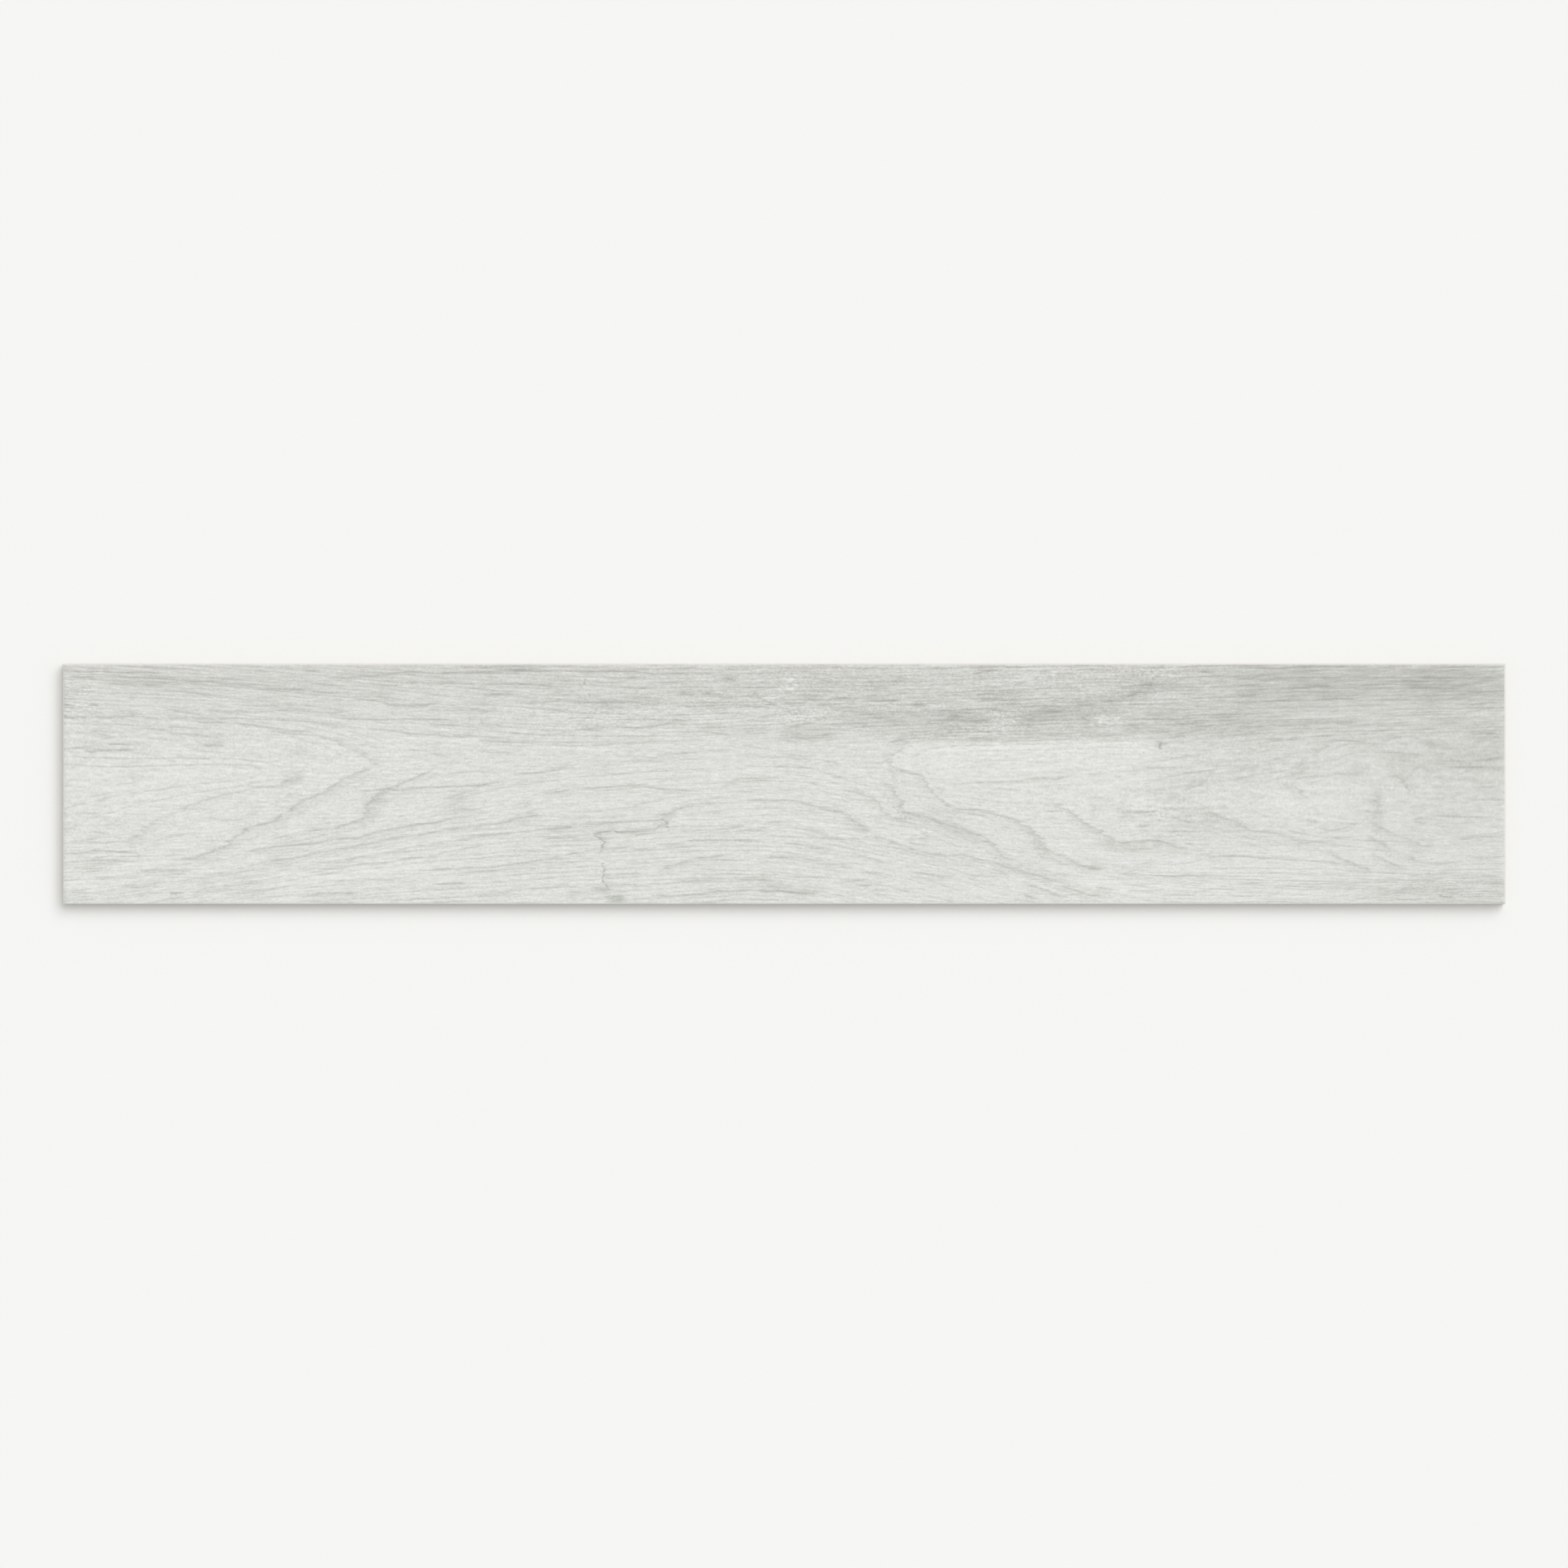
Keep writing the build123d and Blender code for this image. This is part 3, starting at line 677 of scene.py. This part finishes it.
def addFigure(mesh):
    # writes the figure of the grain, the tone and the face mask to the points
    flat = np.empty(len(mesh.vertices) * 3, np.float32)
    mesh.vertices.foreach_get("co", flat)
    at = flat.reshape(-1, 3) / mm
    onFace = at[:, 2] > faceHeight - meshSetup["levelMargin"]
    x, y = at[:, 0].astype(float), at[:, 1].astype(float)
    fitted = fitSurface(ringGuides)
    ring, slopeX, slopeY = readSurface(fitted, x, y)
    row = readSurface(fitSurface(fibreRows), x, y)[0]
    offset, lean, darkness, shade = readLines(fitted, x, y)
    slope = np.hypot(slopeX, slopeY).clip(ringSurface["leastSlope"], None)
    steep = np.clip(np.abs(slopeX) / slope / lineSetup["steep"], 0, 1)
    faint = woodGrain["ringFaint"] * (1 - steep * (1 - woodGrain["ringSteep"]))
    tone = readPatches(tonePatches, x, y)
    darkness *= 1 - lineSetup["lostInSmoke"] * tone.clip(0, 1)
    fields = dict(zip(figureFields, (row, ring, slope, slopeX, faint, offset, lean, darkness, shade)))
    fields["printTone"] = tone
    fields["printChalk"] = readPatches(chalkPatches, x, y)
    fields["pressedFace"] = onFace.astype(float)
    for name, values in fields.items():
        layer = mesh.attributes.new(name, "FLOAT", "POINT")
        layer.data.foreach_set("value", values.astype(np.float32))
    print("stage: grain figure, rings from", round(ring.min(), 1), "to", round(ring.max(), 1))


# Wood grain, shared by the print and the pressed relief so that both are in register. Sizes in mm.
# Each pattern of streaks has their length and width, the spot in the noise where it is taken, and how many
# finer steps it has. Fibres and pores of wood are far finer: these are as coarse as they need to be to show.
woodGrain = {
    "lineCore": 0.22,  # half width of a drawn line at full strength
    "lineEdge": 1.10,  # where it has faded out
    "rowSlip": (26, 1.4, 7.7, 0), "slipSize": 3.0,  # rows of fibre slip along, which steps a slanting line
    "wobble": (16, 3.0, 3.1, 0), "wobbleSize": 0.45,  # slight wavering of the lines
    "breaks": (12, 1.5, 2.2, 0),  # fibres that cross and break a line
    "breakRange": (0.30, 0.52), "breakLeaves": 0.45,  # levels of that noise, and what is left of the line
    "ringsPerUnit": 3.0, "ringFaint": 0.70,  # faint lines between the drawn ones
    "ringSteep": 0.3,  # share of that where they slant
    "ringCore": 0.10, "ringEdge": 0.95,  # half widths, as for a drawn line
    "ringFade": 60, "ringFadeDetail": 1.0,  # length over which one comes and goes
    "ringFadeRange": (0.33, 0.64),
    "ringApart": 5.37,  # step in the noise from one to the next
    "longFibre": (24, 1.4, 1.3, 0),
    "shortFibre": (5, 1.2, 5.9, 0),
    "fineFibre": (1.5, 1.0, 2.4, 1),
    "fibreSwing": 0.5,  # fibres go this far above and below the mean
    "fibreShift": 0.45,  # share of the rows' slip that the shorter ones take
    "pore": (8, 0.9, 9.2, 1), "poreRange": (0.60, 0.72),
    "fleck": (6, 1.2, 4.6, 1), "fleckRange": (0.60, 0.74),
}


def streaks(tree, place, pattern, swing=None):
    # noise drawn out in streaks, from 0 to 1, or from -swing to swing where that is given
    length, width, spot, detail = pattern
    scaled = addNode(tree, vectorCalc, {0: place, 1: (1 / length, 1 / width, 0), 2: (spot, spot, 0)},
                     operation="MULTIPLY_ADD")
    noise = addNode(tree, "ShaderNodeTexNoise", {"Vector": scaled, "Scale": 1.0, "Detail": detail},
                    noise_dimensions="2D")
    if swing is None:
        return noise
    return addNode(tree, calc, {0: noise, 1: 2 * swing, 2: -swing}, operation="MULTIPLY_ADD")


def grainFields(tree, place, figure):
    # place is in mm. Returns the rows of fibre, the lines and the shade beside them, the fibres,
    # the fine fibres, the pores and the chalky flecks
    wood = woodGrain
    lengthwise = addNode(tree, "ShaderNodeSeparateXYZ", {0: place}, out="X")
    rows = addNode(tree, "ShaderNodeCombineXYZ", {0: lengthwise, 1: figure["fibreRow"]})
    slip = streaks(tree, rows, wood["rowSlip"], wood["slipSize"])
    wobble = streaks(tree, rows, wood["wobble"], wood["wobbleSize"])
    low, high = wood["breakRange"]
    whole = addNode(tree, fit, {"Value": streaks(tree, rows, wood["breaks"]),
                                "From Min": low, "From Max": high, "To Min": wood["breakLeaves"]})

    # drawn lines, and the soft shade beside them
    offset = addNode(tree, calc, {0: slip, 1: figure["lineLean"], 2: figure["lineOffset"]},
                     operation="MULTIPLY_ADD")
    offset = addNode(tree, calc, {0: offset, 1: wobble}, operation="ADD")
    outer = addNode(tree, fit, {"Value": offset, "From Max": lineSetup["shadeReach"],
                                "To Min": 1.0, "To Max": 0.0})
    inner = addNode(tree, fit, {"Value": offset, "From Min": -lineSetup["shadeInside"], "From Max": 0.0})
    shade = addNode(tree, calc, {0: outer, 1: inner}, operation="MULTIPLY")
    shade = addNode(tree, calc, {0: shade, 1: figure["lineShade"]}, operation="MULTIPLY")
    offset = addNode(tree, calc, {0: offset}, operation="ABSOLUTE")
    line = addNode(tree, fit, {"Value": offset, "From Min": wood["lineCore"], "From Max": wood["lineEdge"],
                               "To Min": 1.0, "To Max": 0.0}, interpolation_type="SMOOTHSTEP")
    line = addNode(tree, calc, {0: line, 1: figure["lineDarkness"]}, operation="MULTIPLY")

    # faint rings between them, each with its own strength, coming and going along the plank
    moved = addNode(tree, calc, {0: slip, 1: figure["ringLean"], 2: figure["ringNumber"]},
                    operation="MULTIPLY_ADD")
    moved = addNode(tree, calc, {0: wobble, 1: figure["ringSlope"], 2: moved}, operation="MULTIPLY_ADD")
    rings = addNode(tree, calc, {0: moved, 1: wood["ringsPerUnit"]}, operation="MULTIPLY")
    perMm = addNode(tree, calc, {0: figure["ringSlope"], 1: wood["ringsPerUnit"]}, operation="MULTIPLY")
    nearest = addNode(tree, calc, {0: rings}, operation="ROUND")
    faded = addNode(tree, calc, {0: lengthwise, 1: 1 / wood["ringFade"]}, operation="MULTIPLY")
    apart = addNode(tree, calc, {0: nearest, 1: wood["ringApart"]}, operation="MULTIPLY")
    fadePlace = addNode(tree, "ShaderNodeCombineXYZ", {0: faded, 1: apart})
    fade = addNode(tree, "ShaderNodeTexNoise",
                   {"Vector": fadePlace, "Scale": 1.0, "Detail": wood["ringFadeDetail"]},
                   noise_dimensions="2D")
    low, high = wood["ringFadeRange"]
    fade = addNode(tree, fit, {"Value": fade, "From Min": low, "From Max": high,
                               "To Max": figure["ringFaint"]})
    away = addNode(tree, calc, {0: rings, 1: 0.5}, operation="PINGPONG")  # to the nearest whole number
    away = addNode(tree, calc, {0: away, 1: perMm}, operation="DIVIDE")
    ring = addNode(tree, fit, {"Value": away, "From Min": wood["ringCore"], "From Max": wood["ringEdge"],
                               "To Min": 1.0, "To Max": 0.0}, interpolation_type="SMOOTHSTEP")
    ring = addNode(tree, calc, {0: ring, 1: fade}, operation="MULTIPLY")
    line = addNode(tree, calc, {0: line, 1: ring}, operation="MAXIMUM")
    line = addNode(tree, calc, {0: line, 1: whole}, operation="MULTIPLY")

    # fibres, the shorter ones shifted lengthwise from row to row so that they don't line up
    shifted = addNode(tree, calc, {0: slip, 1: wood["fibreShift"], 2: lengthwise}, operation="MULTIPLY_ADD")
    shifted = addNode(tree, "ShaderNodeCombineXYZ", {0: shifted, 1: figure["fibreRow"]})
    fibre = streaks(tree, rows, wood["longFibre"], wood["fibreSwing"])
    short = streaks(tree, shifted, wood["shortFibre"], wood["fibreSwing"])
    fibre = addNode(tree, calc, {0: short, 1: fibre}, operation="ADD")
    fine = streaks(tree, shifted, wood["fineFibre"], wood["fibreSwing"])
    fields = {"rows": rows, "line": line, "shade": shade, "fibre": fibre, "fine": fine}
    for name in ("pore", "fleck"):
        low, high = wood[name + "Range"]
        fields[name] = addNode(tree, fit, {"Value": streaks(tree, shifted, wood[name]),
                                           "From Min": low, "From Max": high})
    return fields


# Pressed relief of the face, in mm below the highest fibres
relief = {
    "line": 0.14, "pore": 0.07, "fibre": 0.10, "swell": 0.10,
    "fibreTop": 0.5,  # level of fibre that leaves the face at full height
    "swellStreak": (160, 34, 6.6, 0),
}


def pressRelief(tile):
    tree = bpy.data.node_groups.new("pressedGrain", "GeometryNodeTree")
    tree.interface.new_socket("Geometry", in_out="INPUT", socket_type="NodeSocketGeometry")
    tree.interface.new_socket("Geometry", in_out="OUTPUT", socket_type="NodeSocketGeometry")
    geometry = addNode(tree, "NodeGroupInput")
    place = addNode(tree, "GeometryNodeInputPosition")
    place = addNode(tree, vectorCalc, {0: place, 1: (1 / mm, 1 / mm, 0)}, operation="MULTIPLY")
    figure = {name: addNode(tree, "GeometryNodeInputNamedAttribute", {"Name": name}, data_type="FLOAT")
              for name in figureFields + ("pressedFace",)}
    hollows = grainFields(tree, place, figure)
    hollows["fibre"] = addNode(tree, calc, {0: relief["fibreTop"], 1: hollows["fibre"]}, operation="SUBTRACT")
    hollows["swell"] = streaks(tree, place, relief["swellStreak"])
    depth = 0.0
    for name in ("line", "pore", "fibre", "swell"):
        depth = addNode(tree, calc, {0: hollows[name], 1: relief[name], 2: depth}, operation="MULTIPLY_ADD")
    depth = addNode(tree, calc, {0: depth, 1: 0.0}, operation="MAXIMUM")
    depth = addNode(tree, calc, {0: depth, 1: figure["pressedFace"]}, operation="MULTIPLY")
    drop = addNode(tree, calc, {0: depth, 1: -mm}, operation="MULTIPLY")
    offset = addNode(tree, "ShaderNodeCombineXYZ", {2: drop})
    moved = addNode(tree, "GeometryNodeSetPosition", {"Geometry": geometry, "Offset": offset})
    addNode(tree, "NodeGroupOutput", {0: moved})
    press = tile.modifiers.new("pressedGrain", "NODES")
    press.node_group = tree
    pressed = bpy.data.meshes.new_from_object(tile.evaluated_get(bpy.context.evaluated_depsgraph_get()))
    tile.modifiers.clear()
    tile.data = pressed
    print("stage: relief pressed,", sum(len(p.vertices) - 2 for p in pressed.polygons), "triangles")


def startMaterial(name):
    material = bpy.data.materials.new(name)
    material.use_nodes = True
    return material, material.node_tree, material.node_tree.nodes["Principled BSDF"]


# Matt glazed porcelain, digitally printed: flat, chalky and pale, with a low broad sheen
printedGlaze = {
    "tones": [(0.0, "#A6A7A1"), (0.2, "#B4B5AF"), (0.4, "#C1C2BC"),
              (0.6, "#CFD0CA"), (0.8, "#DDDED9"), (1.0, "#EAEBE7")],
    "base": 0.801,  # tone of the bare print, then how far each part of the grain moves it
    "patch": 0.62, "line": 0.39, "fibre": 0.23, "fine": 0.42, "pore": 0.105, "fleck": 0.08, "chalk": 0.72,
    "cloud": (18, 2.0, 8.3, 1),  # unevenness of smoke and shade
    "cloudRange": (0.25, 0.75), "cloudLevels": (0.68, 1.32),
    "chalkSpots": (2.6, 1.5, 3.7, 1), "chalkSwing": 0.5,
    "roughness": (0.60, 0.72), "roughRange": (-0.3, 0.3),  # on low fine fibres and on high ones
    "ior": 1.52,
    "fineRelief": 0.03,  # mm
}


def printedFace():
    material, tree, shader = startMaterial("matt_glazed_porcelain_printed")
    glaze = printedGlaze
    place = addNode(tree, "ShaderNodeTexCoord", out="Object")
    place = addNode(tree, vectorCalc, {0: place, 1: (1 / mm, 1 / mm, 0)}, operation="MULTIPLY")
    figure = {name: addNode(tree, "ShaderNodeAttribute", out="Fac", attribute_name=name)
              for name in figureFields + ("printTone", "printChalk")}
    grain = grainFields(tree, place, figure)

    # smoke and shade, then the grain on them, livelier where the face is chalky
    cloud = addNode(tree, fit, {"Value": streaks(tree, grain["rows"], glaze["cloud"]),
                                "From Min": glaze["cloudRange"][0], "From Max": glaze["cloudRange"][1],
                                "To Min": glaze["cloudLevels"][0], "To Max": glaze["cloudLevels"][1]})
    tone = addNode(tree, calc, {0: figure["printTone"], 1: grain["shade"]}, operation="ADD")
    tone = addNode(tree, calc, {0: tone, 1: cloud}, operation="MULTIPLY")
    tone = addNode(tree, calc, {0: tone, 1: -glaze["patch"], 2: glaze["base"]}, operation="MULTIPLY_ADD")
    lively = addNode(tree, calc, {0: figure["printChalk"], 1: 1.0}, operation="ADD")
    for name in ("fibre", "fine"):
        strength = addNode(tree, calc, {0: lively, 1: glaze[name]}, operation="MULTIPLY")
        tone = addNode(tree, calc, {0: grain[name], 1: strength, 2: tone}, operation="MULTIPLY_ADD")
    for name, sign in (("line", -1), ("pore", -1), ("fleck", 1)):
        tone = addNode(tree, calc, {0: grain[name], 1: sign * glaze[name], 2: tone},
                       operation="MULTIPLY_ADD")
    chalk = addNode(tree, calc, {0: figure["printChalk"], 1: 0.0}, operation="MAXIMUM")
    spots = addNode(tree, calc, {0: streaks(tree, place, glaze["chalkSpots"], glaze["chalkSwing"]), 1: chalk},
                    operation="MULTIPLY")
    tone = addNode(tree, calc, {0: spots, 1: glaze["chalk"], 2: tone}, operation="MULTIPLY_ADD")

    ramp = addNode(tree, "ShaderNodeValToRGB", {0: tone})
    steps = ramp.node.color_ramp.elements
    while len(steps) < len(glaze["tones"]):
        steps.new(0.5)
    for step, (position, hexText) in zip(steps, glaze["tones"]):
        step.position = position
        step.color = linearColour(hexText)
    tree.links.new(ramp, shader.inputs["Base Color"])
    rough = addNode(tree, fit, {"Value": grain["fine"],
                                "From Min": glaze["roughRange"][0], "From Max": glaze["roughRange"][1],
                                "To Min": glaze["roughness"][0], "To Max": glaze["roughness"][1]})
    tree.links.new(rough, shader.inputs["Roughness"])
    shader.inputs["IOR"].default_value = glaze["ior"]
    bump = addNode(tree, "ShaderNodeBump",
                   {"Height": grain["fine"], "Distance": glaze["fineRelief"] * mm, "Strength": 1.0})
    tree.links.new(bump, shader.inputs["Normal"])
    return material


# Porcelain body: fired light grey. Its edges are ground, which shows the white engobe under the glaze as
# a fine line along the arris. Its back is left as fired, with pale kiln wash from the rollers on the ribs.
# Sizes in mm. Specks and grinding marks are coarser than real ones, which are too fine to show.
porcelainBody = {
    "pale": "#D2CFC7", "dark": "#BDB9AF", "engobe": "#EBEAE5", "wash": "#E6E4DE",
    "ior": 1.52, "roughness": 0.6,
    "speck": 0.5, "speckDetail": 1.0, "speckShare": 0.4,
    "grinding": (25, 25, 0.25), "firing": (18, 18, 18),  # length, width and height of the marks
    "marksDetail": 2.0, "marksShare": 0.6, "marksDepth": 0.05,
    "toneRange": (0.3, 0.7),
    "engobeDepth": 0.35, "engobeBlend": 0.1,  # how far below the face it reaches, and how soft its border is
    "washHeight": 0.15,  # how far up the ribs it reaches
    "washStreak": (120, 3.5, 1.9, 1), "washRange": (0.38, 0.62),
}


def bodyMaterial(name, ground):
    material, tree, shader = startMaterial(name)
    body = porcelainBody
    place = addNode(tree, "ShaderNodeTexCoord", out="Object")
    place = addNode(tree, vectorCalc, {0: place, 1: (1 / mm, 1 / mm, 1 / mm)}, operation="MULTIPLY")
    speck = addNode(tree, "ShaderNodeTexNoise",
                    {"Vector": place, "Scale": 1 / body["speck"], "Detail": body["speckDetail"]})
    size = body["grinding"] if ground else body["firing"]
    scaled = addNode(tree, vectorCalc, {0: place, 1: size}, operation="DIVIDE")
    marks = addNode(tree, "ShaderNodeTexNoise",
                    {"Vector": scaled, "Scale": 1.0, "Detail": body["marksDetail"]})
    mixed = addNode(tree, calc, {0: marks, 1: body["marksShare"]}, operation="MULTIPLY")
    mixed = addNode(tree, calc, {0: speck, 1: body["speckShare"], 2: mixed}, operation="MULTIPLY_ADD")
    ramp = addNode(tree, "ShaderNodeValToRGB", {0: mixed})
    steps = ramp.node.color_ramp.elements
    for step, position, hexText in zip(steps, body["toneRange"], (body["dark"], body["pale"])):
        step.position = position
        step.color = linearColour(hexText)

    # the coat on it: engobe at the top of the ground edges, or kiln wash at the foot of the ribs
    height = addNode(tree, "ShaderNodeSeparateXYZ", {0: place}, out="Z")
    if ground:
        border = faceHeight - body["engobeDepth"]
        layer = addNode(tree, fit, {"Value": height, "From Min": border - body["engobeBlend"],
                                    "From Max": border + body["engobeBlend"]})
    else:
        layer = addNode(tree, fit, {"Value": height, "From Min": body["washHeight"], "From Max": 0.0})
        streak = addNode(tree, fit, {"Value": streaks(tree, place, body["washStreak"]),
                                     "From Min": body["washRange"][0], "From Max": body["washRange"][1]})
        layer = addNode(tree, calc, {0: layer, 1: streak}, operation="MULTIPLY")
    coat = linearColour(body["engobe"] if ground else body["wash"])
    colour = addNode(tree, "ShaderNodeMix", {0: layer, 6: ramp, 7: coat}, out=2, data_type="RGBA")
    tree.links.new(colour, shader.inputs["Base Color"])
    shader.inputs["Roughness"].default_value = body["roughness"]
    shader.inputs["IOR"].default_value = body["ior"]
    bump = addNode(tree, "ShaderNodeBump",
                   {"Height": mixed, "Distance": body["marksDepth"] * mm, "Strength": 1.0})
    tree.links.new(bump, shader.inputs["Normal"])
    return material


tileMesh = buildTile()
addFigure(tileMesh)
tile = addObject("tile", tileMesh)
tileMesh.materials.append(printedFace())
tileMesh.materials.append(bodyMaterial("porcelain_body_ground", True))
tileMesh.materials.append(bodyMaterial("porcelain_body_as_fired", False))
print("stage: materials")
pressRelief(tile)
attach(tile, "root")
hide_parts("porcelain_tile")

# Studio: white floor, even light from all round and one broad lamp from the upper right
studio = {
    "floorSize": 60.0, "floorColour": "#F6F6F4", "floorRoughness": 0.9,
    "worldColour": "#FFFFFF",
    "worldLevel": 0.60, "seenLevel": 0.92,  # the light it gives, and how bright it is where it is seen
    "lampLevel": 0.40, "lampTilt": 36.0, "lampTurn": -40.0, "lampSpread": 50.0,
}

floorMesh = bpy.data.meshes.new("floor")
half = studio["floorSize"] / 2
floorCorners = [(-half, -half, 0), (half, -half, 0), (half, half, 0), (-half, half, 0)]
floorMesh.from_pydata(floorCorners, [], [(0, 1, 2, 3)])
floor = addObject("floor", floorMesh)
# white studio paper: dull, so it takes the soft shadow of the tile and shows no glare
paper, _, paperShader = startMaterial("white_studio_paper")
paperShader.inputs["Base Color"].default_value = linearColour(studio["floorColour"])
paperShader.inputs["Roughness"].default_value = studio["floorRoughness"]
paperShader.inputs["Specular IOR Level"].default_value = 0.0
floorMesh.materials.append(paper)

world = bpy.data.worlds.new("studio")
bpy.context.scene.world = world
world.use_nodes = True
worldTree = world.node_tree
background = worldTree.nodes["Background"]
path = addNode(worldTree, "ShaderNodeLightPath").node.outputs
seen = addNode(worldTree, calc, {0: path["Is Camera Ray"], 1: path["Is Glossy Ray"]}, operation="MAXIMUM")
seen = addNode(worldTree, calc, {0: seen, 1: path["Is Transmission Ray"]}, operation="MAXIMUM")
level = addNode(worldTree, fit,
                {"Value": seen, "To Min": studio["worldLevel"], "To Max": studio["seenLevel"]})
worldTree.links.new(level, background.inputs["Strength"])
background.inputs["Color"].default_value = linearColour(studio["worldColour"])

lampData = bpy.data.lights.new("broad_lamp", "SUN")
lampData.angle = math.radians(studio["lampSpread"])
lampData.energy = studio["lampLevel"] * math.pi / math.cos(math.radians(studio["lampTilt"]))
lamp = addObject("broad_lamp", lampData)
lamp.rotation_euler = (math.radians(studio["lampTilt"]), 0, math.radians(studio["lampTurn"] + 180))
bpy.context.scene.view_settings.view_transform = "Standard"
print("stage: studio")
